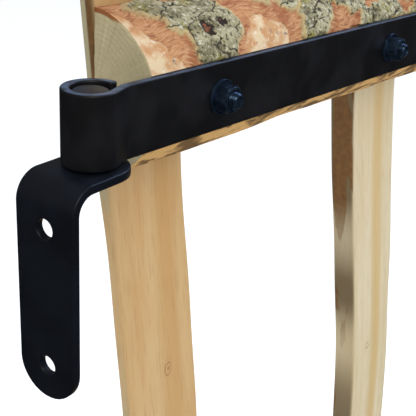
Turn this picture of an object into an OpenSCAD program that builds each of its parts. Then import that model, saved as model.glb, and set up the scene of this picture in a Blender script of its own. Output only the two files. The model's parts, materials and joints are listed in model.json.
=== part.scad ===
// Garden gate leaf of split wood on two strap hinges, with the pintle brackets that it hangs on.
// Origin: midway between the two fixing holes of the upper bracket, on the face that meets
// the post. +X runs from the post towards the hinge pin, +Y towards the back, +Z up.

/* [Leaf] */
// Length of each half-round rail
rail_length = 945; // [920:5:1200]
// Distance between the centre lines of the two rails
rail_spacing = 680; // [520:10:820]
// Radius of the log that a rail is split from
rail_r = 49; // [43:1:59]
// Distance from the pin's axis to the end of the rail
rail_setback = 37; // [30:1:42]
// Height of the rail's centre line above the middle of the strap
rail_rise = 3; // [0:1:5]
// Depth of the flat that is cut in the log under the strap
seat_cut = 7.3; // [4:0.1:9]
// Angle that the leaf stands open at rest
rest_swing = 4; // [0:0.5:20]

/* [Pales] */
// Distance from one pale to the next along the rail
pale_pitch = 276; // [270:1:300]
// Distance from the pin's axis to the middle of the first pale
first_pale_x = 75; // [70:1:79]
// Thickness of a pale
pale_t = 24; // [16:1:30]
// Length of the tallest pale above the upper rail's centre line
pale_above = 150; // [90:1:220]
// Length of a pale below the lower rail's centre line
pale_below = 120; // [80:1:200]
// Height of the slanted top of a pale
pale_point = 34; // [10:1:40]

/* [Strap hinge] */
// Height of the flat bar that strap and bracket are made from
bar_h = 40; // [30:1:50]
// Thickness of that bar
bar_t = 5; // [4:0.5:6]
// Length of the strap from the pin's axis to its rounded end
strap_length = 505; // [420:5:700]
// Diameter of the pintle pin
pin_d = 19.5; // [16:0.5:22]
// Gap all round between the pin and the rolled eye
pin_gap = 0.25; // [0.2:0.05:0.5]
// Distance from the pin's axis to the front of the strap
strap_front = 9.7; // [9:0.1:11]
// Distance from the pin's axis to the first bolt
first_bolt_x = 92; // [70:1:110]
// Distance between the bolts of a strap
bolt_pitch = 195; // [150:1:200]
// Gap between the bracket's leg and the eye above it
leg_gap = 1; // [0.5:0.1:2]

/* [Bracket] */
// Distance from the post's face to the pin's axis
pin_offset = 34; // [30:1:45]
// Distance between the bracket's two fixing holes
hole_spacing = 80; // [60:1:100]
// Diameter of the fixing holes
hole_d = 11; // [8:0.5:12]
// Height from the upper fixing hole to the bottom of the leg
leg_height = 20; // [17:1:40]
// Radius of the outside of the bend
bend_r = 15; // [10:1:16]
// Length of the leg beyond the pin's axis
leg_reach = 21; // [18:1:30]

/* [Fasteners] */
// Diameter of the carriage bolts
bolt_d = 10; // [8:1:12]
// Gap all round a bolt in its hole
bolt_gap = 0.3; // [0.2:0.1:1]
// Diameter of a nail's shank
nail_d = 4; // [3:0.5:5]
// Gap all round a nail in the wood
nail_gap = 0.1; // [0.05:0.05:0.3]

/* [Hidden] */
$fn = 64;

over = 1; // how far a cut runs past the face that it opens

// colours
black_coat = [0.10, 0.10, 0.12];
blue_black = [0.08, 0.11, 0.16];
black_zinc = [0.13, 0.15, 0.19];
bark_brown = [0.55, 0.40, 0.27];
pale_tan = [0.82, 0.67, 0.45];
pale_cream = [0.86, 0.80, 0.63];
nail_grey = [0.45, 0.45, 0.46];

// bracket, in the frame of the whole part
leg_bottom = hole_spacing/2 + leg_height;
leg_top = leg_bottom + bar_t;
leg_end = pin_offset + leg_reach;
pintle_neck_r = 7; // the pin is riveted in the leg: its neck, and the head under the leg
pintle_foot_r = 9.5;
pintle_foot_h = 2.5;
pintle_chamfer = 2;
pintle_sunk = 0.4; // how far the pin's top lies below the top of the eye

// strap and eye, in a leaf frame that has the pin's axis and the strap's mid height as origin
eye_bore_r = pin_d/2 + pin_gap;
eye_r = eye_bore_r + bar_t;
strap_back = bar_t - strap_front;
strap_mid = leg_top + leg_gap + bar_h/2;
neck_angle = 20; // slope of the bar between the eye and the flat of the strap
roll_open = 3.7; // how much further from the pin the roll's end lies than its front
roll_lap = 3; // angle through which the roll runs on into the neck
neck_bend_r = 10; // radius of the middle of the bar where the neck meets the flat
neck_bend_steps = 5;
mid_r = eye_bore_r + bar_t/2;
neck_rise = mid_r*cos(neck_angle) - strap_front + bar_t/2;
neck_run = (neck_rise - neck_bend_r*(1 - cos(neck_angle)))/tan(neck_angle);
neck_bend_x = mid_r*sin(neck_angle) + neck_run + neck_bend_r*sin(neck_angle);

// rails and pales, in the leaf frame
rail_back = strap_back + rail_r - seat_cut;
pale_widths = [67, 68, 70, 66];
pale_leans = [6.5, 10, 7, 3.5];
pale_bows = [5, 8, 6, 4];
pale_drops = [0, 9, 4, 14]; // how much lower than the tallest each top is
pale_peaks = [0.2, -0.25, 0.1, 0.3]; // where the top's highest point is, as a share of the width
bow_steps = 12;

// fasteners
bolt_hole_r = bolt_d/2 + bolt_gap;
flange_r = 1.05*bolt_d;
flange_t = 2;
nut_h = bolt_d;
nut_across_flats = 1.5*bolt_d;
bolt_end = 4; // length of bolt that shows past the nut
thread_gap = 0.1; // gap all round the bolt in its nut
head_r = 1.1*bolt_d;
head_h = 5;
head_rim = 1; // height of a bolt head's straight rim, below its dome
head_sphere_r = (pow(head_r, 2) + pow(head_h - head_rim, 2))/(2*(head_h - head_rim));
bolt_count = 3;
nail_head_r = nail_d;
nail_head_h = 1.5;
nail_bite = 28; // length of a nail in the rail
nail_x = 16; // half the distance between a crossing's two nails, along the rail
nail_z = 20; // and up the pale

function bolt_x(i) = first_bolt_x + i*bolt_pitch;
function pale_x(i) = first_pale_x + i*pale_pitch;
function crossing_x(i, drop) = pale_x(i) + drop*tan(pale_leans[i]);

// A bolt passes through a pale as well where one lies behind its hole in the rail
function pale_behind(x, drop) =
    len([for (i = [0:3]) if (abs(x - crossing_x(i, drop)) < pale_widths[i]/2 + head_r) i]) > 0;

// How far from a crossing a pale still rests on the rail with some part of its width
function pale_seat(i) =
    rail_r/cos(pale_leans[i]) + pale_widths[i]/2*tan(pale_leans[i]);

// How far a pale bends towards the front at a place along it, measured from the upper crossing
function bow_at(z, depth, span, seat) =
    let (t = (-z - seat)/(span - 2*seat))
    t <= 0 || t >= 1 ? 0 : -depth*pow(sin(180*t), 2);

module in_leaf(drop = 0)
    translate([pin_offset, 0, strap_mid - drop]) rotate([0, 0, -rest_swing]) children();

// A round bore or bar along Y, from one distance to another
module along_y(x, z, y0, y1, r)
    translate([x, y1, z]) rotate([90, 0, 0]) cylinder(h = y1 - y0, r = r);

module bracket() {
    half = bar_h/2;
    difference() {
        union() {
            translate([0, 0, leg_bottom]) linear_extrude(bar_t) {
                translate([bend_r, -half]) square([leg_end - half - bend_r, bar_h]);
                translate([leg_end - half, 0]) circle(half);
            }
            translate([bend_r, 0, leg_top - bend_r]) rotate([90, 0, 0]) rotate([0, 0, 90])
                rotate_extrude(angle = 90)
                    translate([bend_r - bar_t, -half]) square([bar_t, bar_h]);
            rotate([90, 0, 90]) linear_extrude(bar_t) {
                translate([-half, -hole_spacing/2])
                    square([bar_h, hole_spacing/2 + leg_top - bend_r]);
                translate([0, -hole_spacing/2]) circle(half);
            }
        }
        for (z = [-1, 1]*hole_spacing/2)
            translate([-over, 0, z]) rotate([0, 90, 0])
                cylinder(h = bar_t + 2*over, d = hole_d);
        translate([pin_offset, 0, leg_bottom - over])
            cylinder(h = bar_t + 2*over, r = pintle_neck_r);
    }
}

module pintle() {
    top = strap_mid + bar_h/2 - pintle_sunk;
    r = pin_d/2;
    translate([pin_offset, 0, 0]) rotate_extrude()
        polygon([
            [0, leg_bottom - pintle_foot_h],
            [pintle_foot_r - 1, leg_bottom - pintle_foot_h],
            [pintle_foot_r, leg_bottom - 1],
            [pintle_foot_r, leg_bottom],
            [pintle_neck_r, leg_bottom],
            [pintle_neck_r, leg_top],
            [r, leg_top],
            [r, top - pintle_chamfer],
            [r - pintle_chamfer, top],
            [0, top]
        ]);
}

// Outline of the bar from the eye to the flat, seen from above
module neck_outline() {
    t = bar_t/2;
    bend = [for (i = [0:neck_bend_steps]) neck_angle*(1 - i/neck_bend_steps)];
    bend_y = t - strap_front - neck_bend_r;
    side = function (r) [for (a = bend) [neck_bend_x - r*sin(a), bend_y + r*cos(a)]];
    start = function (r) r*[sin(neck_angle), -cos(neck_angle)];
    tail = neck_bend_x + bar_h/2;
    back = concat([start(mid_r - t)], side(neck_bend_r + t), [[tail, strap_back]]);
    front = concat([start(mid_r + t)], side(neck_bend_r - t), [[tail, -strap_front]]);
    polygon(concat(back, [for (i = [len(front)-1:-1:0]) front[i]]));
}

// Half of a ring that lies in front of y = 0, or behind it, as seen from above
module half_ring(middle, behind) {
    reach = 2*eye_r;
    intersection() {
        difference() {
            circle(middle + bar_t/2);
            circle(middle - bar_t/2);
        }
        translate([-reach, behind ? 0 : -reach]) square([2*reach, reach]);
    }
}

module strap() {
    difference() {
        union() {
            translate([0, 0, -bar_h/2]) linear_extrude(bar_h) {
                difference() {
                    half_ring(mid_r, false);
                    polygon([
                        [0, 0],
                        2*eye_r*[sin(neck_angle + roll_lap), -cos(neck_angle + roll_lap)],
                        [2*eye_r, 0]
                    ]);
                }
                translate([roll_open/2, 0]) half_ring(mid_r + roll_open/2, true);
                neck_outline();
            }
            translate([0, strap_back, 0]) rotate([90, 0, 0]) linear_extrude(bar_t) {
                translate([neck_bend_x, -bar_h/2])
                    square([strap_length - bar_h/2 - neck_bend_x, bar_h]);
                translate([strap_length - bar_h/2, 0]) circle(bar_h/2);
            }
        }
        for (i = [0:bolt_count-1])
            along_y(bolt_x(i), 0, -strap_front - over, strap_back + over, bolt_hole_r);
    }
}

module strap_nuts() {
    for (i = [0:bolt_count-1]) difference() {
        union() {
            along_y(bolt_x(i), 0, -strap_front - flange_t, -strap_front, flange_r);
            translate([bolt_x(i), -strap_front - flange_t, 0]) rotate([90, 0, 0])
                cylinder(h = nut_h - flange_t, d = nut_across_flats/cos(30), $fn = 6);
        }
        along_y(bolt_x(i), 0, -strap_front - nut_h - over, -strap_front + over,
                bolt_d/2 + thread_gap);
    }
}

module strap_bolts(drop) {
    for (i = [0:bolt_count-1]) {
        seat = rail_back + (pale_behind(bolt_x(i), drop) ? pale_t : 0);
        along_y(bolt_x(i), 0, -strap_front - nut_h - bolt_end, seat, bolt_d/2);
        intersection() {
            along_y(bolt_x(i), 0, seat, seat + head_h, head_r);
            translate([bolt_x(i), seat + head_h - head_sphere_r, 0]) sphere(head_sphere_r);
        }
    }
}

// Half-round log, flat at the back, with the strap's seat and the holes for bolts and nails
module rail(drop) {
    difference() {
        translate([rail_setback, rail_back, rail_rise]) rotate([0, 90, 0])
            intersection() {
                cylinder(h = rail_length, r = rail_r);
                translate([-rail_r - over, -rail_r - over, 0])
                    cube([2*(rail_r + over), rail_r + over, rail_length]);
            }
        translate([rail_setback - over, strap_back - rail_r, rail_rise - rail_r])
            cube([strap_length - rail_setback + 2*over, rail_r, 2*rail_r]);
        for (i = [0:bolt_count-1])
            along_y(bolt_x(i), 0, -rail_r, rail_back + over, bolt_hole_r);
        nail_places(drop) along_y(0, 0, rail_back - nail_bite - over, rail_back + over,
                                  nail_d/2 + nail_gap);
    }
}

// The two nail places at each crossing of a rail, or of one pale where it is given
module nail_places(drop, pales = [0:3]) {
    for (i = pales) for (side = [-1, 1])
        translate([crossing_x(i, drop) + side*nail_x, 0, rail_rise + side*nail_z]) children();
}

module rail_nails(drop) {
    nail_places(drop) {
        along_y(0, 0, rail_back - nail_bite, rail_back + pale_t, nail_d/2);
        along_y(0, 0, rail_back + pale_t, rail_back + pale_t + nail_head_h, nail_head_r);
    }
}

// Split board that leans along the rails and bends towards the front between them
module pale(i) {
    span = rail_spacing/cos(pale_leans[i]);
    top = pale_above - pale_drops[i];
    bottom = -span - pale_below;
    half = pale_widths[i]/2;
    seat = pale_seat(i);
    places = concat(
        [bottom - over],
        [for (k = [0:bow_steps]) -span + seat + k*(span - 2*seat)/bow_steps],
        [top + over]
    );
    bows = [for (z = places) bow_at(z, pale_bows[i], span, seat)];
    side = concat(
        [for (k = [0:len(places)-1]) [bows[k], places[k]]],
        [for (k = [len(places)-1:-1:0]) [bows[k] + pale_t, places[k]]]
    );
    difference() {
        translate([pale_x(i), rail_back, rail_rise]) rotate([0, -pale_leans[i], 0])
            intersection() {
                translate([0, pale_t + over, 0]) rotate([90, 0, 0])
                    linear_extrude(2*pale_t + pale_bows[i] + over)
                    polygon([
                        [-half, bottom],
                        [half, bottom + pale_point/4],
                        [half, top - pale_point/2],
                        [pale_peaks[i]*pale_widths[i], top],
                        [-half, top - pale_point]
                    ]);
                translate([-half - over, 0, 0]) rotate([90, 0, 90])
                    linear_extrude(2*(half + over)) polygon(side);
            }
        for (drop = [0, rail_spacing]) translate([0, 0, -drop]) {
            nail_places(drop, [i])
                along_y(0, 0, rail_back - over, rail_back + pale_t + over, nail_d/2 + nail_gap);
            for (k = [0:bolt_count-1])
                if (abs(bolt_x(k) - crossing_x(i, drop)) < half + head_r)
                    along_y(bolt_x(k), 0, rail_back - over, rail_back + pale_t + over,
                            bolt_hole_r);
        }
    }
}

module upper_bracket() color(blue_black) bracket();
module upper_pintle() color(black_coat) pintle();
module lower_bracket() color(blue_black) translate([0, 0, -rail_spacing]) bracket();
module lower_pintle() color(black_coat) translate([0, 0, -rail_spacing]) pintle();
module upper_strap() color(black_coat) in_leaf() strap();
module upper_strap_nuts() color(black_zinc) in_leaf() strap_nuts();
module upper_strap_bolts() color(black_zinc) in_leaf() strap_bolts(0);
module lower_strap() color(black_coat) in_leaf(rail_spacing) strap();
module lower_strap_nuts() color(black_zinc) in_leaf(rail_spacing) strap_nuts();
module lower_strap_bolts() color(black_zinc) in_leaf(rail_spacing) strap_bolts(rail_spacing);
module upper_rail() color(bark_brown) in_leaf() rail(0);
module lower_rail() color(bark_brown) in_leaf(rail_spacing) rail(rail_spacing);
module pale_1() color(pale_tan) in_leaf() pale(0);
module pale_2() color(pale_cream) in_leaf() pale(1);
module pale_3() color(pale_tan) in_leaf() pale(2);
module pale_4() color(pale_cream) in_leaf() pale(3);
module upper_rail_nails() color(nail_grey) in_leaf() rail_nails(0);
module lower_rail_nails() color(nail_grey) in_leaf(rail_spacing) rail_nails(rail_spacing);

upper_bracket();
upper_pintle();
lower_bracket();
lower_pintle();
upper_strap();
upper_strap_nuts();
upper_strap_bolts();
lower_strap();
lower_strap_nuts();
lower_strap_bolts();
upper_rail();
lower_rail();
pale_1();
pale_2();
pale_3();
pale_4();
upper_rail_nails();
lower_rail_nails();
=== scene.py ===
import json
import math
import random

import bmesh
import bpy
import numpy as np
from mathutils import Matrix, Vector
from mathutils.geometry import tessellate_polygon


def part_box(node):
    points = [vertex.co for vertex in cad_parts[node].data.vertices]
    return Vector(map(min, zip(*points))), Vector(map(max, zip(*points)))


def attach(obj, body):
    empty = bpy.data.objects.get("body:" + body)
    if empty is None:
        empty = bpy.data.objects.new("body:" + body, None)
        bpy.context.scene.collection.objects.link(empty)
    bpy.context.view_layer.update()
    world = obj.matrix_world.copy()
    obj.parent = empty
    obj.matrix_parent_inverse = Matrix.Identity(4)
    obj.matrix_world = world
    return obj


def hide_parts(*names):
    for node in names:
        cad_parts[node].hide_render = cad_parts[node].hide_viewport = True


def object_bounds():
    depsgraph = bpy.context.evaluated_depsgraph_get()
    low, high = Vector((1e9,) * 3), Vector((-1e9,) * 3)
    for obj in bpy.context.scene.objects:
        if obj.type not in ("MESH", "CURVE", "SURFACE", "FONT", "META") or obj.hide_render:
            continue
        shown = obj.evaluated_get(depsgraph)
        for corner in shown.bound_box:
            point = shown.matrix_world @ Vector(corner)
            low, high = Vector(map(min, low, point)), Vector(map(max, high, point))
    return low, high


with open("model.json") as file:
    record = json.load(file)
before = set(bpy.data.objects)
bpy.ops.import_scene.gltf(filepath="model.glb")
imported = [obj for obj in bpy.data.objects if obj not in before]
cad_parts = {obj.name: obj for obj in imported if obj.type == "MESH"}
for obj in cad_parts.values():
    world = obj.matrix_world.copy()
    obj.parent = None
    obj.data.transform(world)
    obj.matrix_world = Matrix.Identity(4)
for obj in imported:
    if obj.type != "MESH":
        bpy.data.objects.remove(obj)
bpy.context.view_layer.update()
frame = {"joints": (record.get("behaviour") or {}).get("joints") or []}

pin = Vector(frame["joints"][0]["pos_m"])
leafTurn = math.radians(-4)
mm = 0.001
hingeDrop = (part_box("upper_strap")[0][2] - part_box("lower_strap")[0][2]) / mm

print("camera")
cameraView = {"lens": 76.1, "fromPin": (-0.3117, -0.2907, 0.1422),
              "heading": 34.72, "pitch": 23.52, "roll": 3.31}


def placeCamera(view):
    heading, pitch = math.radians(view["heading"]), math.radians(view["pitch"])
    forward = Vector((math.cos(pitch) * math.cos(heading), math.cos(pitch) * math.sin(heading),
                      -math.sin(pitch)))
    right = Vector((math.sin(heading), -math.cos(heading), 0))
    up = right.cross(forward)
    turn = Matrix((right, up, -forward)).transposed()
    camera = bpy.data.objects.new("camera", bpy.data.cameras.new("camera"))
    camera.data.lens = view["lens"]
    camera.data.sensor_width = 36
    camera.data.clip_start = 0.01
    camera.data.clip_end = 50
    camera.matrix_world = (Matrix.Translation(pin + Vector(view["fromPin"]))
                           @ turn.to_4x4() @ Matrix.Rotation(math.radians(view["roll"]), 4, "Z"))
    bpy.context.scene.collection.objects.link(camera)
    bpy.context.scene.camera = camera


placeCamera(cameraView)
bpy.context.scene.view_settings.view_transform = "Standard"


# Tools that every piece uses

def linear(hexText):
    parts = [int(hexText[i:i + 2], 16) / 255 for i in (1, 3, 5)]
    return tuple(p / 12.92 if p <= 0.04045 else ((p + 0.055) / 1.055) ** 2.4
                 for p in parts) + (1.0,)


def addNode(tree, kind, inputs=None, **settings):
    node = tree.nodes.new(kind)
    for name, value in settings.items():
        setattr(node, name, value)
    for key, value in (inputs or {}).items():
        if isinstance(value, bpy.types.NodeSocket):
            tree.links.new(value, node.inputs[key])
        else:
            node.inputs[key].default_value = value
    return node


def number(tree, operation, a, b=0.0):
    return addNode(tree, "ShaderNodeMath", {0: a, 1: b}, operation=operation).outputs[0]


def plus(tree, a, b):
    return number(tree, "ADD", a, b)


def minus(tree, a, b):
    return number(tree, "SUBTRACT", a, b)


def times(tree, a, b):
    return number(tree, "MULTIPLY", a, b)


def vector(tree, operation, a, b=(0, 0, 0)):
    node = addNode(tree, "ShaderNodeVectorMath", {0: a, 1: b}, operation=operation)
    return node.outputs["Value" if operation in ("DISTANCE", "LENGTH") else "Vector"]


def stretched(tree, coords, scale):
    return vector(tree, "MULTIPLY", coords, scale)


def axisOf(tree, coords, axis):
    return addNode(tree, "ShaderNodeSeparateXYZ", {0: coords}).outputs["xyz".index(axis)]


def attribute(tree, name, output="Fac"):
    return addNode(tree, "ShaderNodeAttribute", attribute_name=name).outputs[output]


def mixColour(tree, factor, a, b):
    return addNode(tree, "ShaderNodeMix", {0: factor, 6: a, 7: b}, data_type="RGBA").outputs[2]


def tinted(tree, colour, share, tone):
    return mixColour(tree, share, colour, linear(tone))


def ramp(tree, value, low, high):
    return addNode(tree, "ShaderNodeMapRange", {0: value, 1: low, 2: high},
                   interpolation_type="SMOOTHSTEP").outputs[0]


def between(tree, value, low, high):
    return addNode(tree, "ShaderNodeMapRange", {0: value, 3: low, 4: high}).outputs[0]


def noise(tree, coords, grain, detail=3.0, rough=0.5, output=0):
    # grain is the size of one blotch in mm, because the coordinates are in mm
    return addNode(tree, "ShaderNodeTexNoise",
                   {"Vector": coords, "Scale": 1 / grain, "Detail": detail,
                    "Roughness": rough}).outputs[output]


def startMaterial(name, **shaderSettings):
    material = bpy.data.materials.new(name)
    material.use_nodes = True
    tree = material.node_tree
    shader = tree.nodes["Principled BSDF"]
    for key, value in shaderSettings.items():
        shader.inputs[key.replace("_", " ")].default_value = value
    return material, tree, shader, attribute(tree, "pieceMm", "Vector")


def finishMaterial(tree, shader, colour, rough, height, depth):
    # rough is a number or a socket, and depth is how deep the relief is, in mm
    tree.links.new(colour, shader.inputs["Base Color"])
    if isinstance(rough, bpy.types.NodeSocket):
        tree.links.new(rough, shader.inputs["Roughness"])
    else:
        shader.inputs["Roughness"].default_value = rough
    bump = addNode(tree, "ShaderNodeBump", {"Height": height, "Distance": depth * mm,
                                            "Strength": 1.0})
    tree.links.new(bump.outputs[0], shader.inputs["Normal"])


def drift(seed, s, size, reach):
    # a smooth random curve, up to about reach, that wanders over about size
    source = random.Random(seed)
    total = 0
    for share, stretch in ((0.5, 1), (0.3, 0.53), (0.2, 0.29)):
        total = total + share * np.sin(2 * math.pi * (s / (size * stretch)
                                                      + source.random()))
    return reach * total


def around(steps):
    return np.linspace(0, 2 * math.pi, steps, endpoint=False)


def circle(radius, y, angles):
    # a ring round the Y axis: radius is one number, or one for each angle
    return np.stack([radius * np.cos(angles), y + 0 * angles, radius * np.sin(angles)], 1)


def closeRings(rings):
    # vertices and faces of a solid that is skinned over closed rings of points
    rings = np.asarray(rings, float)
    count, n = rings.shape[:2]
    verts = rings.reshape(-1, 3).tolist() + [rings[0].mean(0).tolist(), rings[-1].mean(0).tolist()]
    faces = []
    for i in range(count - 1):
        for j in range(n):
            k = (j + 1) % n
            faces.append((i * n + j, i * n + k, (i + 1) * n + k, (i + 1) * n + j))
    for j in range(n):
        k = (j + 1) % n
        faces.append((count * n, k, j))
        faces.append((count * n + 1, (count - 1) * n + j, (count - 1) * n + k))
    return verts, faces


def outwardMesh(bm, mesh, weld=False):
    # writes the edited mesh back with its faces outward, and joins doubled points
    if weld:
        bmesh.ops.remove_doubles(bm, verts=bm.verts, dist=1e-4)
    bmesh.ops.recalc_face_normals(bm, faces=bm.faces)
    bm.to_mesh(mesh)
    bm.free()


def smooth(mesh, sharpest):
    mesh.polygons.foreach_set("use_smooth", np.ones(len(mesh.polygons), bool))
    mesh.set_sharp_from_angle(angle=math.radians(sharpest))


def meshOf(name, verts, faces, materials, sharpest, faceSlots=None):
    mesh = bpy.data.meshes.new(name)
    mesh.from_pydata(verts, [], faces)
    for material in materials:
        mesh.materials.append(material)
    if faceSlots is not None:
        mesh.polygons.foreach_set("material_index", np.asarray(faceSlots, np.int32))
    bm = bmesh.new()
    bm.from_mesh(mesh)
    outwardMesh(bm, mesh)
    smooth(mesh, sharpest)
    return mesh


def vertexValues(mesh, name, kind, values):
    field = mesh.attributes.new(name, kind, "POINT")
    key = "vector" if kind == "FLOAT_VECTOR" else "value"
    field.data.foreach_set(key, np.asarray(values, np.float32).ravel())


def nameCoordinates(mesh):
    # keeps each point's place in mm for the materials, and gives the places back
    points = np.zeros(len(mesh.vertices) * 3, np.float32)
    mesh.vertices.foreach_get("co", points)
    vertexValues(mesh, "pieceMm", "FLOAT_VECTOR", points)
    return points.reshape(-1, 3)


def toRow(mesh, drop, onLeaf=True):
    # from millimetres on the leaf, or round the pin, to the part's frame in metres
    turn = Matrix.Rotation(leafTurn, 4, "Z") if onLeaf else Matrix.Identity(4)
    place = Matrix.Translation(pin + Vector((0, 0, -drop * mm)))
    mesh.transform(place @ turn @ Matrix.Scale(mm, 4))


def asPiece(mesh, name, body, slot, *nodes):
    piece = bpy.data.objects.new(name, mesh)
    bpy.context.scene.collection.objects.link(piece)
    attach(piece, body)
    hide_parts(*nodes)
    return piece


def geometryTree(name, inputs):
    tree = bpy.data.node_groups.new(name, "GeometryNodeTree")
    for label, kind in inputs.items():
        tree.interface.new_socket(label, in_out="INPUT", socket_type="NodeSocket" + kind)
    tree.interface.new_socket("Result", in_out="OUTPUT", socket_type="NodeSocketGeometry")
    return tree, addNode(tree, "NodeGroupInput").outputs


def finishTree(tree, geometry, material, selection=True):
    real = addNode(tree, "GeometryNodeRealizeInstances", {0: geometry}).outputs[0]
    dressed = addNode(tree, "GeometryNodeSetMaterial",
                      {"Geometry": real, "Selection": selection, "Material": material})
    addNode(tree, "NodeGroupOutput", {0: dressed.outputs[0]})
    return tree


def throughNodes(mesh, tree, values):
    # runs a geometry tree on a mesh and gives back the plain result
    holder = bpy.data.objects.new("holder", mesh)
    bpy.context.scene.collection.objects.link(holder)
    modifier = holder.modifiers.new("tree", "NODES")
    modifier.node_group = tree
    for item in tree.interface.items_tree:
        if item.in_out == "INPUT" and item.name in values:
            modifier[item.identifier] = values[item.name]
    seen = bpy.context.evaluated_depsgraph_get()
    result = bpy.data.meshes.new_from_object(holder.evaluated_get(seen), depsgraph=seen)
    bpy.data.objects.remove(holder)
    return result


print("materials")


def powderCoatedSteel(name, tone, glow, rough, topHighlight=None):
    # Hot-rolled bar under satin black powder coat: an even fine orange peel, softly glossy,
    # with a painted bluish highlight on the edge that faces up, standing in for sky light
    material, tree, shader, coords = startMaterial(name, Specular_IOR_Level=0.4)
    patches = noise(tree, coords, 22, 2)
    colour = mixColour(tree, ramp(tree, patches, 0.35, 0.7), linear(tone), linear(glow))
    # painted highlight: a bluish tint in blotches on the upward edge, in place of sky light falling
    # on it
    if topHighlight:
        thick = times(tree, attribute(tree, "upward"),
                      ramp(tree, noise(tree, coords, 9, 3), 0.2, 0.6))
        colour = tinted(tree, colour, thick, topHighlight)
    finishMaterial(tree, shader, colour, between(tree, patches, rough, rough + 0.1),
                   noise(tree, coords, 0.9, 2), 0.03)
    return material


def blackZinc(name):
    # Zinc-plated fasteners passivated black: dark steel with a blue shine on the edges
    material, tree, shader, coords = startMaterial(name, Metallic=0.85)
    stain = noise(tree, coords, 4, 4)
    colour = mixColour(tree, ramp(tree, stain, 0.35, 0.7), linear("#2b3a4c"), linear("#3f546c"))
    finishMaterial(tree, shader, colour, between(tree, stain, 0.26, 0.32),
                   noise(tree, coords, 0.6, 2), 0.004)
    return material


def galvanisedSteel(name):
    # Dull hot-dip zinc with pale blotches
    material, tree, shader, coords = startMaterial(name, Metallic=0.8)
    stain = noise(tree, coords, 1.5, 3)
    colour = mixColour(tree, stain, linear("#6f7072"), linear("#a9aaa8"))
    finishMaterial(tree, shader, colour, 0.55, stain, 0.03)
    return material


barkLayout = {  # balls of x, y, z and radius that lay out the bark near the hinge
    "peeled": ((36, 16, 47, 8), (38, 5, 39, 10), (43, -4, 29, 13), (54, -8, 20, 11),
               (140, -1, 33, 10), (136, -7, 24, 15), (152, -6, 26, 11)),
    "plates": ((64, 24, 51, 13), (78, 12, 46, 15), (100, 9, 44, 18), (108, 4, 40, 15),
               (88, -4, 30, 16), (100, -7, 25, 14), (156, 18, 49, 10), (176, 12, 45, 12),
               (198, 0, 35, 17), (190, -8, 24, 14), (212, 8, 42, 14)),
    "knots": ((92, 3, 37, 5.4), (107, 5, 40, 4.2)),
    "end": 214, "fade": 6,
}


def insideBalls(tree, coords, balls):
    # how far inside the nearest of the balls a place lies, in mm
    best = None
    for x, y, z, radius in balls:
        inside = minus(tree, float(radius), vector(tree, "DISTANCE", coords, (x, y, z)))
        best = inside if best is None else number(tree, "MAXIMUM", best, inside)
    return best


def barkPattern(tree, coords, lower):
    # the same layers drive the relief of the log and the colours of its bark
    wobble = noise(tree, coords, 14, output="Color")
    push = stretched(tree, vector(tree, "SUBTRACT", wobble, (0.5, 0.5, 0.5)), (20, 14, 14))
    warped = vector(tree, "ADD", coords, push)
    along = stretched(tree, warped, (0.5, 1, 1))
    field = plus(tree, noise(tree, along, 21, 1.5, 0.45), 0.012)
    peeled = pit = pitHeart = 0.0
    if not lower:
        near = ramp(tree, axisOf(tree, warped, "x"), barkLayout["end"] + barkLayout["fade"],
                    barkLayout["end"] - barkLayout["fade"])
        laid = plus(tree, times(tree, insideBalls(tree, warped, barkLayout["plates"]), 0.011),
                    0.46)
        field = addNode(tree, "ShaderNodeMix", {0: near, 2: field, 3: laid}).outputs[0]
        peeled = ramp(tree, insideBalls(tree, warped, barkLayout["peeled"]), -0.2, 1.2)
        slightly = vector(tree, "ADD", coords, stretched(tree, push, (0.2, 0.2, 0.2)))
        torn = times(tree, minus(tree, noise(tree, coords, 3, 3), 0.5), 9.0)
        knots = plus(tree, insideBalls(tree, slightly, barkLayout["knots"]), torn)
        pit, pitHeart = ramp(tree, knots, 0.0, 0.8), ramp(tree, knots, 2.2, 2.9)
    plate = ramp(tree, field, 0.445, 0.475)
    rim = times(tree, plate, minus(tree, 1.0, ramp(tree, field, 0.475, 0.495)))
    cells = addNode(tree, "ShaderNodeTexVoronoi", {"Vector": along, "Scale": 1 / 13},
                    feature="DISTANCE_TO_EDGE").outputs["Distance"]
    crack = times(tree, minus(tree, 1.0, ramp(tree, cells, 0.01, 0.05)),
                  ramp(tree, noise(tree, coords, 16, 1), 0.4, 0.52))
    bald = minus(tree, 1.0, peeled)
    plate = times(tree, plate, bald)
    return {"plate": plate, "rim": times(tree, rim, bald), "crack": times(tree, crack, plate),
            "peeled": peeled, "pit": pit, "pitHeart": pitHeart, "along": along}


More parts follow.
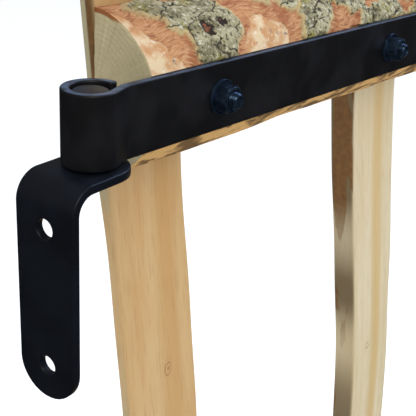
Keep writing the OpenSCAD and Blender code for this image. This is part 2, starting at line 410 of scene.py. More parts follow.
def barkSkin(name, lower=False):
    # Rough bark in raised grey-green plates over orange inner bark, peeled to cream in places
    material, tree, shader, coords = startMaterial(name)
    layer = barkPattern(tree, coords, lower)
    swirl = stretched(tree, noise(tree, coords, 38, 2, output="Color"), (26, 26, 26))
    bent = vector(tree, "ADD", coords, swirl)
    fibre = noise(tree, stretched(tree, bent, (0.14, 1, 1)), 1.5, 3, 0.6)
    speck = noise(tree, coords, 2.6, 4, 0.7)

    def patch(grain, low, high, detail=3):
        return ramp(tree, noise(tree, coords, grain, detail), low, high)

    inner = mixColour(tree, patch(14, 0.35, 0.65, 4), linear("#a2663c"), linear("#be8a5c"))
    inner = tinted(tree, inner, times(tree, ramp(tree, fibre, 0.48, 0.36), 0.75), "#84492a")
    inner = tinted(tree, inner, times(tree, ramp(tree, fibre, 0.54, 0.66), 0.6), "#d0a87c")
    lichen = noise(tree, layer["along"], 9, 3)
    grey = mixColour(tree, ramp(tree, lichen, 0.35, 0.65), linear("#77704f"), linear("#a8a17e"))
    grey = tinted(tree, grey, patch(11, 0.55, 0.7), "#8f8748")
    grey = tinted(tree, grey, ramp(tree, speck, 0.55, 0.66), "#cfccb6")
    grey = tinted(tree, grey, ramp(tree, speck, 0.47, 0.38), "#393523")
    colour = mixColour(tree, layer["plate"], inner, grey)
    colour = tinted(tree, colour, times(tree, layer["rim"], 0.75), "#c2a873")
    cream = mixColour(tree, patch(9, 0.4, 0.64, 4), linear("#d8c09a"), linear("#c39160"))
    cream = tinted(tree, cream, ramp(tree, speck, 0.56, 0.7), "#eadfc6")
    cream = tinted(tree, cream, patch(7, 0.64, 0.74), "#7f7468")
    colour = mixColour(tree, layer["peeled"], colour, cream)
    colour = tinted(tree, colour, times(tree, layer["crack"], 0.9), "#2a2517")
    colour = tinted(tree, colour, layer["pit"], "#2e2016")
    heart = times(tree, layer["pitHeart"], ramp(tree, fibre, 0.4, 0.6))
    colour = tinted(tree, colour, heart, "#9a5a30")
    # the underside is bare ochre wood with brown strips left on it
    under = ramp(tree, axisOf(tree, coords, "z"), -15, -19)
    strips = ramp(tree, noise(tree, layer["along"], 11, 3), 0.42, 0.6)
    colour = mixColour(tree, under, colour,
                       mixColour(tree, strips, linear("#c69a58"), linear("#6f5020")))
    relief = plus(tree, times(tree, speck, 0.7), times(tree, fibre, 0.3))
    finishMaterial(tree, shader, colour, 0.86, relief, 1.1)
    return material


def sawnEndGrain(name, centre):
    # The cross-cut end of the log: faint year rings, checks that run out from the heart
    material, tree, shader, coords = startMaterial(name)
    flat = stretched(tree, coords, (0, 1, 1))
    away = vector(tree, "DISTANCE", flat, centre)
    wobble = noise(tree, coords, 18, 2)
    ringGap = 3.1
    bent = plus(tree, away, times(tree, wobble, 5.0))
    rings = number(tree, "SINE", times(tree, bent, 2 * math.pi / ringGap))
    ray = vector(tree, "NORMALIZE", vector(tree, "SUBTRACT", flat, centre))
    checks = noise(tree, stretched(tree, ray, (1, 14, 14)), 1, 3, 0.6)
    speck = noise(tree, coords, 1.4, 3, 0.7)
    colour = mixColour(tree, noise(tree, coords, 13, 4), linear("#ab9d76"), linear("#c3b58e"))
    for field, low, high, share, tone in (
            (rings, 0.3, 1.0, 0.08, "#8a7a50"), (checks, 0.58, 0.7, 0.5, "#d3c69c"),
            (checks, 0.4, 0.3, 0.35, "#7d6c46"), (speck, 0.5, 0.7, 0.25, "#8b7c57")):
        colour = tinted(tree, colour, times(tree, ramp(tree, field, low, high), share), tone)
    # a brown line of bark along the upper edge
    edge = ramp(tree, plus(tree, away, times(tree, wobble, 2.0)), 44.6, 45.4)
    edge = times(tree, edge, ramp(tree, axisOf(tree, coords, "z"), 43, 46))
    colour = tinted(tree, colour, edge, "#8e5222")
    finishMaterial(tree, shader, colour, 0.8, plus(tree, speck, times(tree, rings, 0.15)), 0.5)
    return material


def splitWood(name, looks, along):
    # Wood split along the grain and dried: long streaks, a few knots, a faintly silky face
    material, tree, shader, coords = startMaterial(name)
    grain = stretched(tree, coords, (0.05, 1, 1) if along == "x" else (1, 1, 0.05))
    broad = noise(tree, grain, 24, 2)
    fine = noise(tree, grain, 1.4, 4, 0.65)
    colour = mixColour(tree, ramp(tree, broad, 0.3, 0.7), linear(looks["dark"]),
                       linear(looks["light"]))
    colour = tinted(tree, colour, times(tree, ramp(tree, fine, 0.5, 0.3), 0.4), looks["line"])
    stripe = plus(tree, axisOf(tree, coords, "x"), times(tree, broad, 7.0))
    inside = times(tree, ramp(tree, stripe, looks["stripe"] - 12, looks["stripe"]),
                   ramp(tree, stripe, looks["stripe"] + 14, looks["stripe"] + 4))
    colour = tinted(tree, colour, times(tree, inside, looks["stripeShare"]), looks["heart"])
    blush = noise(tree, stretched(tree, coords, (1, 1, 0.25)), 26, 2)
    colour = tinted(tree, colour, times(tree, ramp(tree, blush, 0.5, 0.75), 0.45), looks["warm"])
    # one knot, with rings round it
    fromKnot = stretched(tree, attribute(tree, "fromKnot", "Vector"), (1, 0.3, 0.6))
    away = plus(tree, vector(tree, "LENGTH", fromKnot),
                times(tree, noise(tree, coords, 4, 2), 2.0))
    swirl = number(tree, "SINE", times(tree, away, 3.4))
    knot = times(tree, ramp(tree, away, 6.4, 4.6), ramp(tree, swirl, -0.3, 0.9))
    colour = tinted(tree, colour, times(tree, knot, 0.6), looks["knot"])
    # the left edge, with strips of bark left along its front
    flank = attribute(tree, "flank")
    colour = tinted(tree, colour, flank, looks["flank"])
    strips = noise(tree, stretched(tree, coords, (1.0, 0.8, 0.16)), 14, 3)
    left = times(tree, ramp(tree, strips, looks["barkFrom"], looks["barkFrom"] + 0.03), flank)
    left = times(tree, left, ramp(tree, axisOf(tree, coords, "y"), looks["barkDeep"] + 1.5,
                                  looks["barkDeep"]))
    barkTone = mixColour(tree, noise(tree, coords, 5, 4), linear("#54350f"), linear("#8a6028"))
    colour = mixColour(tree, left, colour, barkTone)
    finishMaterial(tree, shader, colour, 0.68, plus(tree, fine, times(tree, broad, 1.5)), 0.35)
    return material


# the strap's last colour is its painted bluish highlight on the upward edge
coatStrap = powderCoatedSteel("powderCoatedStrap", "#0f0f11", "#18181b", 0.36, "#47556a")
coatBracket = powderCoatedSteel("powderCoatedBracket", "#080c14", "#0c111b", 0.38)
coatPin = powderCoatedSteel("blackenedPintle", "#1b1d22", "#272a33", 0.3)
zinc = blackZinc("blackZincFastener")
galvanised = galvanisedSteel("galvanisedNail")
tanWood = {"dark": "#bd945c", "light": "#ccab78", "line": "#a47c4a", "heart": "#b98642",
           "warm": "#c18c50", "flank": "#aba07c", "knot": "#8a5a26", "stripe": 14,
           "stripeShare": 0.4, "barkFrom": 0.5, "barkDeep": 3.5}
creamWood = {"dark": "#c5b48a", "light": "#d6c8a8", "line": "#b39c6c", "heart": "#c6a15c",
             "warm": "#ccb486", "flank": "#705e3e", "knot": "#94703c", "stripe": 8,
             "stripeShare": 0.6, "barkFrom": 0.47, "barkDeep": 18}
tanPale = splitWood("splitPaleTan", tanWood, "z")
creamPale = splitWood("splitPaleCream", creamWood, "z")
railBack = splitWood("splitRailFace", tanWood, "x")

print("hinge irons")
bar = {"height": 40, "thick": 5, "edge": 0.9, "edgeSteps": 3, "corner": 1.2}
strapBar = {"eyeRadius": 12.5, "rollOpen": 1.85, "neckAngle": 20, "bendRadius": 10,
            "front": -9.7, "length": 505, "firstBolt": 92, "boltPitch": 195, "boltCount": 3,
            "boltHole": 5.3}
bracketBar = {"pinOffset": 34, "bendRadius": 15, "reach": 21,
              "holes": (20, 100), "holeRadius": 5.5, "flat": 110, "bottom": -146}


def arc(u, v, radius, start, end, steps):
    angles = np.radians(np.linspace(start, end, steps))
    return [((u + radius * math.cos(a), v + radius * math.sin(a)), (-math.cos(a), -math.sin(a)))
            for a in angles]


def holeLoop(u, radius):
    return [((u + radius * math.cos(a), radius * math.sin(a)), (math.cos(a), math.sin(a)))
            for a in around(40)]


def flatBlank(loops, cuts):
    # a plate with rounded edges from loops of (point, direction into the metal), cut across
    # at each place where it will bend
    half, edge, steps = bar["thick"] / 2, bar["edge"], bar["edgeSteps"]
    rows = [(edge + 0.5, half)]
    rows += [(edge * (1 - math.sin(a)), half - edge * (1 - math.cos(a)))
             for a in np.linspace(0, math.pi / 2, steps + 1)]
    rows += [(inset, -w) for inset, w in reversed(rows)]
    bm = bmesh.new()
    rims = []
    for loop in loops:
        rings = [[bm.verts.new((p[0] + inset * d[0], p[1] + inset * d[1], w)) for p, d in loop]
                 for inset, w in rows]
        for a, b in zip(rings, rings[1:]):
            for j in range(len(loop)):
                k = (j + 1) % len(loop)
                bm.faces.new((a[j], a[k], b[k], b[j]))
        rims.append(rings)
    for side in (0, -1):
        flat = [v for rings in rims for v in rings[side]]
        outline = [[v.co for v in rings[side]] for rings in rims]
        for corner in tessellate_polygon(outline):
            bm.faces.new([flat[i] for i in corner])
    bmesh.ops.recalc_face_normals(bm, faces=bm.faces)
    for u in cuts:
        bmesh.ops.bisect_plane(bm, geom=list(bm.verts) + list(bm.edges) + list(bm.faces),
                               plane_co=(u, 0, 0), plane_no=(1, 0, 0), dist=1e-5)
    return bm


def bentMesh(name, bm, route, material):
    # route turns a place on the flat blank into its place on the bent bar
    for vert in bm.verts:
        vert.co = route(vert.co.x, vert.co.y, vert.co.z)
    mesh = bpy.data.meshes.new(name)
    outwardMesh(bm, mesh, weld=True)
    mesh.materials.append(material)
    smooth(mesh, 40)
    points = nameCoordinates(mesh)
    vertexValues(mesh, "upward", "FLOAT", points[:, 2] > bar["height"] / 2 - 0.1)
    return mesh


def strapMesh(name):
    # an eye rolled round two close centres, a neck that slopes down to the log, a flat blade
    s = strapBar
    radius, slope = s["eyeRadius"], math.radians(s["neckAngle"])
    rollLength = radius * (2 * math.pi - math.pi / 2 + slope)
    middle = s["front"] + bar["thick"] / 2
    rise = middle + radius * math.cos(slope)
    neckRun = (rise - s["bendRadius"] * (1 - math.cos(slope))) / math.tan(slope)
    neckLength = neckRun / math.cos(slope)
    bendLength = s["bendRadius"] * slope
    bendEnd = radius * math.sin(slope) + neckRun + s["bendRadius"] * math.sin(slope)
    flatFrom = rollLength + neckLength + bendLength
    half = bar["height"] / 2
    tip = flatFrom + s["length"] - bendEnd

    def route(u, v, w):
        if u <= rollLength:
            angle = u / radius
            shift = s["rollOpen"] if angle < math.pi else 0
            out = radius + shift + w
            x, y = shift + out * math.cos(angle), out * math.sin(angle)
        elif u <= rollLength + neckLength:
            t = u - rollLength
            x = (radius + w) * math.sin(slope) + t * math.cos(slope)
            y = -(radius + w) * math.cos(slope) + t * math.sin(slope)
        elif u < flatFrom:
            left = slope - (u - rollLength - neckLength) / s["bendRadius"]
            x = bendEnd - (s["bendRadius"] - w) * math.sin(left)
            y = middle - s["bendRadius"] + (s["bendRadius"] - w) * math.cos(left)
        else:
            x, y = bendEnd + u - flatFrom, middle - w
        return x, y, v

    corner = bar["corner"]
    outline = arc(corner, corner - half, corner, 180, 270, 4)
    outline += arc(tip - half, 0, half, -90, 90, 33)
    outline += arc(corner, half - corner, corner, 90, 180, 4)
    loops = [outline]
    for i in range(s["boltCount"]):
        loops.append(holeLoop(flatFrom + s["firstBolt"] + i * s["boltPitch"] - bendEnd,
                              s["boltHole"]))
    cuts = list(np.linspace(0, rollLength, 61)[1:]) + [rollLength + neckLength / 2]
    cuts += list(np.linspace(rollLength + neckLength, flatFrom, 7))
    return bentMesh(name, flatBlank(loops, cuts), route, coatStrap)


def bracketMesh(name):
    # an upright leg with two holes, bent over into the leg that carries the pin
    s = bracketBar
    half = bar["height"] / 2
    middle = s["bendRadius"] - bar["thick"] / 2
    bendLength = middle * math.pi / 2
    end = s["flat"] + bendLength + s["pinOffset"] + s["reach"] - s["bendRadius"]
    top = s["bottom"] + s["flat"]

    def route(u, v, w):
        if u <= s["flat"]:
            x, z = bar["thick"] / 2 - w, s["bottom"] + u
        elif u <= s["flat"] + bendLength:
            angle = (u - s["flat"]) / middle
            x = s["bendRadius"] - (middle + w) * math.cos(angle)
            z = top + (middle + w) * math.sin(angle)
        else:
            x, z = s["bendRadius"] + u - s["flat"] - bendLength, top + middle + w
        return x - s["pinOffset"], -v, z

    outline = arc(half, 0, half, 90, 270, 33) + arc(end - half, 0, half, -90, 90, 33)
    loops = [outline] + [holeLoop(u, s["holeRadius"]) for u in s["holes"]]
    cuts = np.linspace(s["flat"], s["flat"] + bendLength, 19)
    return bentMesh(name, flatBlank(loops, cuts), route, coatBracket)


pintle = {"radius": 9.75, "neck": 7, "foot": 9.5, "top": 19.6, "leg": -21, "footHeight": 2.5}


def pintleMesh(name):
    # a riveted foot under the leg, a plain pin and a rounded top
    p = pintle
    under = p["leg"] - bar["thick"]
    profile = [(1, under - p["footHeight"]), (p["foot"] - 3, under - p["footHeight"] + 0.1),
               (p["foot"] - 1, under - p["footHeight"] + 0.8), (p["foot"] - 0.2, under - 0.9),
               (p["foot"], under - 0.4), (p["foot"], under), (p["neck"], under),
               (p["neck"], p["leg"]), (p["radius"], p["leg"]), (p["radius"], p["leg"] + 0.6),
               (p["radius"], p["top"] - 3.0)]
    profile += [(p["radius"] - 1.8 * (1 - math.cos(a)), p["top"] - 2.4 + 1.8 * math.sin(a))
                for a in np.linspace(0, math.pi / 2, 6)]
    profile += [(5.5, p["top"] - 0.25), (2.5, p["top"] - 0.05), (0.6, p["top"])]
    rings = [circle(r, z, around(64))[:, [0, 2, 1]] for r, z in profile]
    mesh = meshOf(name, *closeRings(rings), [coatPin], 50)
    nameCoordinates(mesh)
    return mesh


def irons(prefix, drop):
    for name, make, body, onLeaf in ((prefix + "Strap", strapMesh, "leaf", True),
                                     (prefix + "Bracket", bracketMesh, "post_brackets", False),
                                     (prefix + "Pintle", pintleMesh, "post_brackets", False)):
        mesh = make(name)
        toRow(mesh, drop, onLeaf)
        node = prefix + "_" + name[len(prefix):].lower()
        asPiece(mesh, name, body, "black_powder_coat", node)


irons("upper", 0)
irons("lower", hingeDrop)

print("fasteners")
bolt = {"radius": 5, "pitch": 1.5, "depth": 0.75, "thread": 18, "end": 4, "headRadius": 11,
        "headHeight": 5}
nut = {"flats": 15, "height": 10, "flangeRadius": 10.5, "bore": 5.1}
rail = {"back": 37, "radius": 49, "rise": 3, "start": 37, "length": 945, "seat": -4.7}
paleThick = 24
nailProfile = ((0.4, 1.35), (3.2, 1.5), (3.8, 1.3), (4.0, 0.9), (3.9, 0.3), (3.4, 0.0),
               (2.0, -0.1), (2.0, -46.0), (0.3, -51.5))  # radius and height, from the head


def nutMesh(name):
    # a hexagon with chamfered corners on a rimmed flange, bored through, standing on y = 0
    angles = around(96)
    facing = (angles + math.pi / 6) % (math.pi / 3) - math.pi / 6
    hexagon = nut["flats"] / 2 / np.cos(facing)
    corner = nut["flats"] / 2 / math.cos(math.pi / 6)
    top, bore, rim = nut["height"], nut["bore"], nut["flangeRadius"]
    rows = [(bore, 0.0), (rim - 0.3, 0.0), (rim, 0.3), (rim, 1.5), (rim - 0.15, 1.8),
            (rim - 0.5, 1.95), (rim - 0.8, 1.85), (rim - 1.2, 1.3), (rim - 1.6, 1.2)]
    rows += [(np.minimum(hexagon, corner - cut), h)
             for cut, h in ((0, 1.35), (0, top - 2.2), (0.1, top - 1.6), (0.45, top - 1.0),
                            (0.9, top - 0.5), (1.5, top - 0.15))]
    rows += [(6.6, top), (bore + 0.7, top), (bore, top - 0.7), (bore, 0.0)]
    verts, faces = closeRings([circle(r, -h, angles) for r, h in rows])
    sides = (len(rows) - 1) * len(angles)
    mesh = meshOf(name, verts[:-2], faces[:sides], [zinc], 24)
    bm = bmesh.new()
    bm.from_mesh(mesh)
    outwardMesh(bm, mesh, weld=True)
    return mesh


def boltMesh(name, shank):
    # a round head on y = 0 pointing to the back, a plain shank and a threaded end in front
    angles = around(48)
    r, tip, head = bolt["radius"], -shank, bolt["headRadius"]
    rows = [(0.6, bolt["headHeight"])]
    rows += [(head * math.sin(a), 1 + (bolt["headHeight"] - 1) * math.cos(a))
             for a in np.linspace(0.12, math.pi / 2, 9)]
    rows += [(head, 0.3), (head - 0.3, 0.0), (r, 0.0), (r, tip + bolt["thread"])]
    for y in np.arange(tip + bolt["thread"] - 0.2, tip + 1.0, -0.25):
        wave = np.abs(((y / bolt["pitch"] + angles / (2 * math.pi)) % 1) * 2 - 1)
        rows.append((r - bolt["depth"] * np.clip(wave * 1.25 - 0.1, 0, 1), y))
    rows += [(r - 0.75, tip + 0.8), (r - 1.1, tip + 0.25), (r - 1.5, tip), (2.9, tip),
             (2.5, tip + 0.9), (1.2, tip + 1.3)]
    return meshOf(name, *closeRings([circle(q, y, angles) for q, y in rows]), [zinc], 30)


def nailMesh(name):
    # a flat head on y = 0 with its face to the back, and a shank that tapers to a point
    rings = [circle(q, y, around(24)) for q, y in nailProfile]
    return meshOf(name, *closeRings(rings), [galvanised], 40)


def partAtPoints():
    # geometry tree: stands a part on every point, each turned about its own axis
    tree, given = geometryTree("partAtPoints", {"Points": "Geometry", "Part": "Object",
                                                "Material": "Material", "Turn": "Float",
                                                "Seed": "Int"})
    part = addNode(tree, "GeometryNodeObjectInfo", {"Object": given["Part"]})
    angle = addNode(tree, "FunctionNodeRandomValue", {3: given["Turn"], "Seed": given["Seed"]},
                    data_type="FLOAT")
    turn = addNode(tree, "ShaderNodeCombineXYZ", {1: angle.outputs[1]})
    stood = addNode(tree, "GeometryNodeInstanceOnPoints",
                    {"Points": given["Points"], "Instance": part.outputs["Geometry"],
                     "Rotation": turn.outputs[0]})
    return finishTree(tree, stood.outputs[0], given["Material"])


partsTree = partAtPoints()


def standParts(name, shapes, places, material, seed, turn=2 * math.pi):
    # stands one shape on each group of places, and joins them all in one mesh
    bm = bmesh.new()
    for shape, group in zip(shapes, places):
        model = bpy.data.objects.new("model", shape)
        points = bpy.data.meshes.new("points")
        points.from_pydata(group, [], [])
        done = throughNodes(points, partsTree, {"Part": model, "Material": material,
                                                "Turn": turn, "Seed": seed})
        bm.from_mesh(done)
        bpy.data.objects.remove(model)
    mesh = bpy.data.meshes.new(name)
    bm.to_mesh(mesh)
    bm.free()
    mesh.materials.append(material)
    smooth(mesh, 28)
    nameCoordinates(mesh)
    return mesh


pales = {
    "pitch": 276, "first": 75, "widths": (67, 68, 70, 66), "leans": (6.5, 10, 7, 3.5),
    "bows": (5, 8, 6, 4), "drops": (0, 9, 4, 14), "peaks": (0.2, -0.25, 0.1, 0.3),
    "above": 150, "below": 120, "point": 34,
    "nailX": 16, "nailZ": 20, "knots": ((6, -217), (-9, -330), (-14, -420), (10, -180)),
}


def crossing(i, drop):
    return pales["first"] + i * pales["pitch"] + drop * math.tan(math.radians(pales["leans"][i]))


def boltPlaces(drop):
    # bolts that also pass through a pale are longer by its thickness
    short, long = [], []
    for i in range(strapBar["boltCount"]):
        x = strapBar["firstBolt"] + i * strapBar["boltPitch"]
        behind = any(abs(x - crossing(k, drop)) < pales["widths"][k] / 2 + bolt["headRadius"]
                     for k in range(4))
        (long if behind else short).append((x, rail["back"] + (paleThick if behind else 0), 0))
    return short, long


def fasteners(prefix, drop):
    short, long = boltPlaces(drop)
    front = strapBar["front"] - nut["height"] - bolt["end"]
    nuts = standParts(prefix + "Nuts", [nutMesh("nut")],
                      [[(x, strapBar["front"], 0) for x, _, _ in short + long]], zinc, 5, 1.0)
    lengths = [rail["back"] - front, rail["back"] + paleThick - front]
    bolts = standParts(prefix + "Bolts", [boltMesh("bolt", n) for n in lengths], [short, long],
                       zinc, 9)
    spots = [(crossing(i, drop) + side * pales["nailX"], rail["back"] + paleThick,
              rail["rise"] + side * pales["nailZ"]) for i in range(4) for side in (-1, 1)]
    nails = standParts(prefix + "Nails", [nailMesh("nail")], [spots], galvanised, 3)
    for mesh, slot, node in ((nuts, "black_zinc", "_strap_nuts"),
                             (bolts, "black_zinc", "_strap_bolts"),
                             (nails, "galvanised_nail", "_rail_nails")):
        toRow(mesh, drop)
        asPiece(mesh, mesh.name, "leaf", slot, prefix + node)


fasteners("upper", 0)
fasteners("lower", hingeDrop)

print("rails")
railLooks = {"arcStep": 1.5, "alongStep": 1.6, "flatSteps": 22, "plate": 1.9, "crack": 1.6,
             "peeled": 0.5, "rough": 1.6, "pit": 1.4, "endSteps": (0.2, 0.4, 0.6, 0.8, 0.93, 0.985)}


def named(tree, name, kind):
    return addNode(tree, "GeometryNodeInputNamedAttribute", {"Name": name},
                   data_type=kind).outputs[0]


def barkTree(lower):
    # geometry tree: raises the plates of the bark and sinks its cracks along the normal
    tree, given = geometryTree("barkRelief", {"Log": "Geometry", "Bark": "Material",
                                              "Plate height": "Float", "Crack depth": "Float",
                                              "Peeled depth": "Float"})
    coords = named(tree, "pieceMm", "FLOAT_VECTOR")
    layer = barkPattern(tree, coords, lower)
    rough = minus(tree, noise(tree, coords, 5, 3, 0.6), 0.5)
    up = times(tree, layer["plate"], given["Plate height"])
    up = plus(tree, up, times(tree, rough, railLooks["rough"]))
    up = minus(tree, up, times(tree, layer["crack"], given["Crack depth"]))
    up = minus(tree, up, times(tree, layer["peeled"], given["Peeled depth"]))
    up = minus(tree, up, times(tree, layer["pit"], railLooks["pit"]))
    up = times(tree, up, named(tree, "barkCover", "FLOAT"))
    normal = addNode(tree, "GeometryNodeInputNormal").outputs[0]
    offset = addNode(tree, "ShaderNodeVectorMath", {0: normal, "Scale": up},
                     operation="SCALE").outputs[0]
    moved = addNode(tree, "GeometryNodeSetPosition", {"Geometry": given["Log"],
                                                      "Offset": offset}).outputs[0]
    return finishTree(tree, moved, given["Bark"], named(tree, "barkFace", "BOOLEAN"))


def railSection(x, seed):
    # (y, z) round the log: bark side from top to bottom, then the flat back up again
    r = rail["radius"] - railLooks["plate"]
    phi = np.linspace(0, math.pi, round(math.pi * r / railLooks["arcStep"]))
    wide = r + drift(seed, x + 40 * phi, 260, 0.9) + drift(seed + 1, 60 * phi + 0.2 * x, 90, 0.5)
    y = rail["back"] - wide * np.sin(phi)
    z = rail["rise"] + wide * np.cos(phi)
    if x < strapBar["length"] + 3:
        y = np.where(np.abs(z) < bar["height"] / 2 + 0.5, np.maximum(y, rail["seat"] + 0.05), y)
    flat = np.linspace(-wide[-1], wide[0], railLooks["flatSteps"] + 2)[1:-1]
    fuzz = drift(seed + 7, flat * 3 + 0.4 * x, 17, 0.25) - 0.3
    y = np.concatenate([y, rail["back"] + fuzz])
    z = np.concatenate([z, rail["rise"] + flat])
    return y, z, len(phi)


def railSkins(prefix, lower):
    return [barkSkin(prefix + "RailBark", lower),
            sawnEndGrain(prefix + "RailEnd", (0, rail["back"], rail["rise"])), railBack]


def makeRail(prefix, drop, seed):
    lower = drop > 0
    first, last = rail["start"], rail["start"] + rail["length"]
    xs = np.linspace(first, last, round(rail["length"] / railLooks["alongStep"]))
    shrink = railLooks["endSteps"]
    caps = len(shrink)
    heart = np.array((rail["back"] - 16, rail["rise"]))
    rings = []
    for x, k in ([(first, k) for k in shrink] + [(x, 1.0) for x in xs]
                 + [(last, k) for k in shrink[::-1]]):
        y, z, barkCount = railSection(x, seed)
        rings.append(np.stack([np.full(len(y), x), heart[0] + k * (y - heart[0]),
                               heart[1] + k * (z - heart[1])], 1))
    verts, faces = closeRings(rings)
    n = len(rings[0])
    # slot 0 is the bark, 1 the sawn ends, 2 the split back
    row, column = np.divmod(np.arange(len(rings) * n), n)
    inCap = (row < caps) | (row >= caps + len(xs) - 1)
    slots = np.ones(len(faces), int)
    slots[:len(row) - n] = np.where(inCap, 1, np.where(column >= barkCount - 1, 2, 0))[:-n]
    skins = railSkins(prefix, lower)
    mesh = meshOf(prefix + "Rail", verts, faces, skins, 50, slots)
    points = nameCoordinates(mesh)
    vertexValues(mesh, "flank", "FLOAT", np.zeros(len(points)))
    vertexValues(mesh, "fromKnot", "FLOAT_VECTOR", (points - (260, 0, 8))[:, [2, 1, 0]])
    # bark relief fades out underneath, at the two edges, and behind the strap
    x, y, z = points[:-2].T
    outer = (row >= caps) & (row < caps + len(xs)) & (column > 0) & (column < barkCount - 1)
    behind = ((np.abs(z) < bar["height"] / 2 + 1.0) & (x < strapBar["length"] + 2)
              & (y < rail["back"] - 10))
    edge = np.clip(np.minimum(column, barkCount - 1 - column) / 3, 0, 1)
    cover = np.where(outer & ~behind, edge * np.clip((z + 16) / 5, 0.12, 1), 0)
    vertexValues(mesh, "barkCover", "FLOAT", np.concatenate([cover, [0, 0]]))
    field = mesh.attributes.new("barkFace", "BOOLEAN", "FACE")
    field.data.foreach_set("value", slots == 0)
    mesh = throughNodes(mesh, barkTree(lower), {"Bark": skins[0],
                                                "Plate height": railLooks["plate"],
                                                "Crack depth": railLooks["crack"],
                                                "Peeled depth": railLooks["peeled"]})
    toRow(mesh, drop)
    asPiece(mesh, prefix + "Rail", "leaf", "bark_log", prefix + "_rail")


makeRail("upper", 0, 11)
makeRail("lower", hingeDrop, 23)

print("pales")
paleShapes = {  # thickness at the left and right edge, and how much each edge wanders
    "left": (9, 22, 17, 21), "right": (22, 19, 22, 15), "wander": (1.6, 2.0, 2.2, 1.8),
    "step": 1.6, "rows": 150, "endSteps": (0.25, 0.5, 0.75, 0.92),
}


def paleOutline(i):
    # the section across a pale: a flat front on y = 0 and a low ridge along the back
    half = pales["widths"][i] / 2
    corners = [(-half, 0), (half, 0), (half, paleShapes["right"][i]), (0, paleThick),
               (-half, paleShapes["left"][i])]
    outline = []
    for (x0, y0), (x1, y1) in zip(corners, corners[1:] + corners[:1]):
        count = max(2, round(math.hypot(x1 - x0, y1 - y0) / paleShapes["step"]))
        outline += [(x0 + (x1 - x0) * k / count, y0 + (y1 - y0) * k / count)
                    for k in range(count)]
    outline = np.array(outline)
    for _ in range(2):
        outline = (np.roll(outline, 1, 0) + 2 * outline + np.roll(outline, -1, 0)) / 4
    return outline[:, 0], outline[:, 1]


def paleMesh(i, material):
    half, lean = pales["widths"][i] / 2, math.radians(pales["leans"][i])
    seed = 31 + 10 * i
    span = hingeDrop / math.cos(lean)
    top = pales["above"] - pales["drops"][i]
    bottom = -span - pales["below"]
    seat = rail["radius"] / math.cos(lean) + half * math.tan(lean)

    def foot(x):
        return bottom + pales["point"] / 4 * (x + half) / (2 * half)

    def tip(x):
        peak = pales["peaks"][i] * 2 * half
        left = top - pales["point"] * (peak - x) / (peak + half)
        right = top - pales["point"] / 2 * (x - peak) / (half - peak)
        return np.where(x < peak, left, right)

    def bow(z):
        t = np.clip((-z - seat) / (span - 2 * seat), 0, 1)
        return -pales["bows"][i] * np.sin(math.pi * t) ** 2

    rings = []
    shrink = paleShapes["endSteps"]
    for t, k in ([(0.0, k) for k in shrink]
                 + [(t, 1.0) for t in np.linspace(0, 1, paleShapes["rows"])]
                 + [(1.0, k) for k in shrink[::-1]]):
        x, y = paleOutline(i)
        z = bottom + t * (top - bottom)
        edge = drift(seed, z, 420, paleShapes["wander"][i]) * np.sign(x) * (np.abs(x) / half) ** 2
        x = x + edge + drift(seed + 2, z, 700, 1.2)
        # the front is uneven only where it stands clear of the rails
        crown = 1 - np.clip(np.abs(y) / 3, 0, 1)
        clear = np.clip((np.abs(bow(z)) - 0.2) / 3, 0, 1) + (z > rail["radius"] + 8)
        y = y + crown * clear * drift(seed + 4, x * 2.2 + 0.05 * z, 60, 0.6)
        x, y = k * x, paleThick / 2 + k * (y - paleThick / 2)
        low, high = foot(np.clip(x, -half, half)), tip(np.clip(x, -half, half))
        z = low + t * (high - low)
        rings.append(np.stack([x, y + bow(z), z], 1))
    mesh = meshOf(f"pale{i + 1}", *closeRings(rings), [material], 42)
    points = nameCoordinates(mesh)
    side = np.clip((-half + 1.2 - points[:, 0]) / 1.6, 0, 1)
    vertexValues(mesh, "flank", "FLOAT", side)
    knotX, knotZ = pales["knots"][i]
    vertexValues(mesh, "fromKnot", "FLOAT_VECTOR", points - (knotX, 0, knotZ))
    mesh.transform(Matrix.Translation((crossing(i, 0), rail["back"], rail["rise"]))
                   @ Matrix.Rotation(-lean, 4, "Y"))
    return mesh


for i in range(4):
    tan = i % 2 == 0
    mesh = paleMesh(i, tanPale if tan else creamPale)
    toRow(mesh, 0)
    asPiece(mesh, mesh.name, "leaf", "split_pale_tan" if tan else "split_pale_cream",
            f"pale_{i + 1}")

print("floor and light")
stage = {"floor": "#f4f4f2", "glow": 0.3, "clearance": 0.06, "reach": 6, "sky": 0.85,
         "under": 0.12, "mirrored": 0.15, "skyTone": "#f6f9ff"}


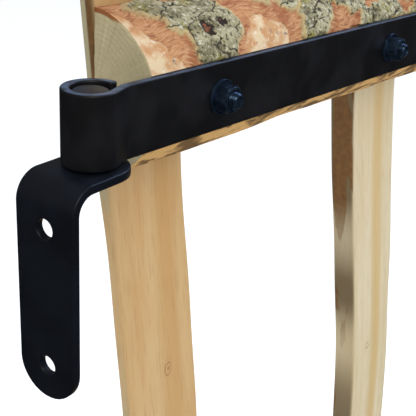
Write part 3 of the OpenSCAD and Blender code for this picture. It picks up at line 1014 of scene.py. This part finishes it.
def makeStage():
    # a pale floor under the gate and an even sky, which metal mirrors only faintly
    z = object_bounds()[0][2] - stage["clearance"]
    r = stage["reach"]
    mesh = bpy.data.meshes.new("floor")
    mesh.from_pydata([(-r, -r, z), (r, -r, z), (r, r, z), (-r, r, z)], [], [(0, 1, 2, 3)])
    material, tree, shader, _ = startMaterial("paleFloor", Roughness=0.9)
    shader.inputs["Base Color"].default_value = linear(stage["floor"])
    shader.inputs["Emission Color"].default_value = linear(stage["floor"])
    shader.inputs["Emission Strength"].default_value = stage["glow"]
    mesh.materials.append(material)
    floor = bpy.data.objects.new("floor", mesh)
    bpy.context.scene.collection.objects.link(floor)
    floor.visible_glossy = False
    world = bpy.data.worlds.new("studio")
    bpy.context.scene.world = world
    world.use_nodes = True
    tree = world.node_tree
    sky = tree.nodes["Background"]
    way = addNode(tree, "ShaderNodeTexCoord").outputs["Generated"]
    share = addNode(tree, "ShaderNodeMapRange", {0: axisOf(tree, way, "z"), 1: -0.05, 2: 0.12,
                                                 3: stage["under"], 4: stage["sky"]}).outputs[0]
    ray = addNode(tree, "ShaderNodeLightPath").outputs
    loss = times(tree, ray["Is Glossy Ray"], 1 - stage["mirrored"])
    dimmed = times(tree, share, minus(tree, 1.0, loss))
    seen = addNode(tree, "ShaderNodeMix", {0: ray["Is Camera Ray"], 2: dimmed, 3: 1.0})
    sky.inputs[0].default_value = linear(stage["skyTone"])
    tree.links.new(seen.outputs[0], sky.inputs[1])


lamps = {  # place, what it looks at, size in metres, watts, colour, shows in reflections
    "key": ((-0.9, -1.3, 1.6), (0.2, 0, 0), 1.2, 17, "#fffaf2", True),
    "fill": ((1.6, -1.4, 0.6), (0.4, 0, -0.1), 1.6, 7, "#f2f6ff", False),
    "sky": ((0.2, 0.9, 1.9), (0.3, 0, 0), 1.2, 14, "#eef4ff", False),
    "edge": ((1.6, -0.3, 1.25), (0.1, 0, 0.1), 0.7, 12, "#b4cdff", True),
}


def makeLamp(name, place, target, size, power, tone, mirrored):
    light = bpy.data.lights.new(name, "AREA")
    light.shape = "DISK"
    light.size = size
    light.energy = power
    light.color = linear(tone)[:3]
    lamp = bpy.data.objects.new(name, light)
    aim = (Vector(target) - Vector(place)).to_track_quat("-Z", "Y")
    lamp.matrix_world = Matrix.Translation(place) @ aim.to_matrix().to_4x4()
    lamp.visible_glossy = mirrored
    bpy.context.scene.collection.objects.link(lamp)


makeStage()
for name, values in lamps.items():
    makeLamp(name, *values)
